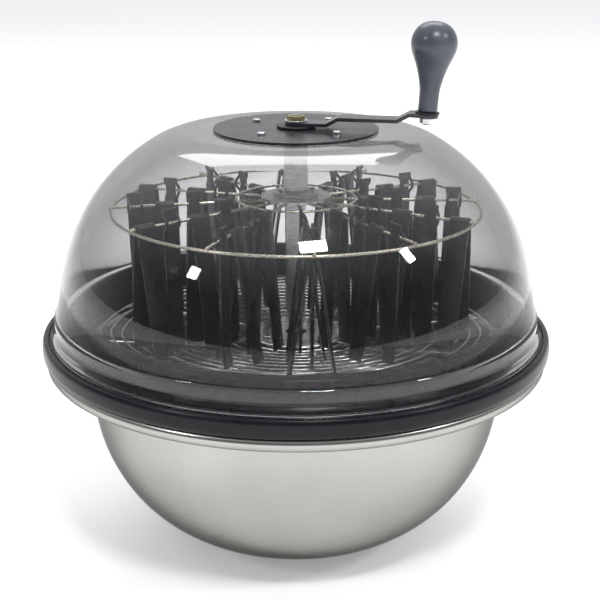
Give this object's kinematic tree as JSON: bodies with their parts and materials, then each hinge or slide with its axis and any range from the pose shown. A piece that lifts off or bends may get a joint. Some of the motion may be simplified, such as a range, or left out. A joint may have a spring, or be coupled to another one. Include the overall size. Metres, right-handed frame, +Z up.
{
  "type": "manual bowl leaf trimmer",
  "caption": "Hand-cranked bowl trimmer: a steel bowl with a grate and a geared blade under it, and a clear dome whose crank turns a wire wheel hung with rubber strips.",
  "frame": {"origin": "centre of the bowl's flat base, on the table", "axes": "+Z up along the crank's axis; +X to the side the crank knob stands on at rest; -Y towards the viewer"},
  "size_m": [0.43, 0.43, 0.4441],
  "materials": {
    "bowl_steel": "satin spun stainless",
    "rim_rubber": "glossy moulded black",
    "grate_steel": "bright polished wire",
    "plate_steel": "brushed sheet and tube",
    "gearbox_alloy": "cast light alloy, plain",
    "gear_steel": "machined steel",
    "bearing_bronze": "turned bearing bronze",
    "screw_steel": "bright zinc plate",
    "blade_steel": "ground spring steel",
    "dome_clear": "clear blown plastic",
    "black_plate": "smooth black moulding",
    "black_nylon": "turned black nylon",
    "black_arm": "semi-gloss black enamel",
    "brass_nut": "dull plated nut",
    "wheel_wire": "plain drawn wire",
    "strip_rubber": "smooth flexible rubber sheet",
    "knob_plastic": "slate blue moulding, soft gloss"
  },
  "bodies": {
    "base": {"bowl": "bowl_steel", "rim_ring": "rim_rubber", "grate_bars": "grate_steel", "grate_rings": "grate_steel", "grate_hub": "plate_steel", "gearbox_cover": "gearbox_alloy", "gearbox_housing": "gearbox_alloy", "ring_gear": "gear_steel", "output_bush": "bearing_bronze", "gearbox_screws": "screw_steel"},
    "lid": {"dome": "dome_clear", "top_plate": "black_plate", "plate_screws": "screw_steel", "plate_nuts": "screw_steel", "dome_bush": "black_nylon"},
    "crank": {"crank_arm": "black_arm", "crank_boss": "black_nylon", "shaft_washer": "screw_steel", "shaft_nut": "brass_nut", "drive_shaft": "gear_steel", "hub_tube": "plate_steel", "lower_tube": "plate_steel", "hub_plate": "plate_steel", "hub_screws": "screw_steel", "whisk_rods": "wheel_wire", "outer_hoop": "wheel_wire", "inner_hoop": "wheel_wire", "knob_washer": "black_nylon", "knob_spindle": "gear_steel", "spindle_nut": "screw_steel", "strips_01": "strip_rubber", "strips_02": "strip_rubber", "strips_03": "strip_rubber", "strips_04": "strip_rubber", "strips_05": "strip_rubber", "strips_06": "strip_rubber", "strips_07": "strip_rubber", "strips_08": "strip_rubber", "strips_09": "strip_rubber", "strips_10": "strip_rubber", "strips_11": "strip_rubber", "strips_12": "strip_rubber"},
    "knob_grip": {"knob": "knob_plastic"},
    "carrier": {"planet_carrier": "gear_steel", "planet_pins": "gear_steel"},
    "planet_a": {"planet_gear_1": "gear_steel"},
    "planet_b": {"planet_gear_2": "gear_steel"},
    "planet_c": {"planet_gear_3": "gear_steel"},
    "blade_rotor": {"sun_shaft": "gear_steel", "blade_hub": "gear_steel", "blade_bar": "blade_steel", "blade_washer": "screw_steel", "blade_nut": "screw_steel"}
  },
  "joints": [
    {"name": "lid_lift", "type": "slide", "parent": "base", "child": "lid", "axis": [0, 0, 1], "range_m": [0, 0.3]},
    {"name": "crank_spin", "type": "hinge", "parent": "lid", "child": "crank", "pos_m": [0, 0, 0.356], "axis": [0, 0, 1], "continuous": true},
    {"name": "knob_spin", "type": "hinge", "parent": "crank", "child": "knob_grip", "pos_m": [0.10572, -0.0194, 0.37068], "axis": [0.0686, -0.0126, 0.9976], "continuous": true},
    {"name": "carrier_spin", "type": "hinge", "parent": "base", "child": "carrier", "pos_m": [0, 0, 0.1663], "axis": [0, 0, 1], "continuous": true},
    {"name": "planet_a_spin", "type": "hinge", "parent": "carrier", "child": "planet_a", "pos_m": [0.015, 0, 0.1584], "axis": [0, 0, 1], "continuous": true},
    {"name": "planet_b_spin", "type": "hinge", "parent": "carrier", "child": "planet_b", "pos_m": [-0.0075, 0.01299, 0.1584], "axis": [0, 0, 1], "continuous": true},
    {"name": "planet_c_spin", "type": "hinge", "parent": "carrier", "child": "planet_c", "pos_m": [-0.0075, -0.01299, 0.1584], "axis": [0, 0, 1], "continuous": true},
    {"name": "blade_spin", "type": "hinge", "parent": "base", "child": "blade_rotor", "pos_m": [0, 0, 0.1475], "axis": [0, 0, 1], "continuous": true}
  ],
  "couplings": [
    {"joint": "carrier_spin", "follows": "crank_spin", "ratio": 1},
    {"joint": "planet_a_spin", "follows": "crank_spin", "ratio": -3},
    {"joint": "planet_b_spin", "follows": "crank_spin", "ratio": -3},
    {"joint": "planet_c_spin", "follows": "crank_spin", "ratio": -3},
    {"joint": "blade_spin", "follows": "crank_spin", "ratio": 4}
  ]
}
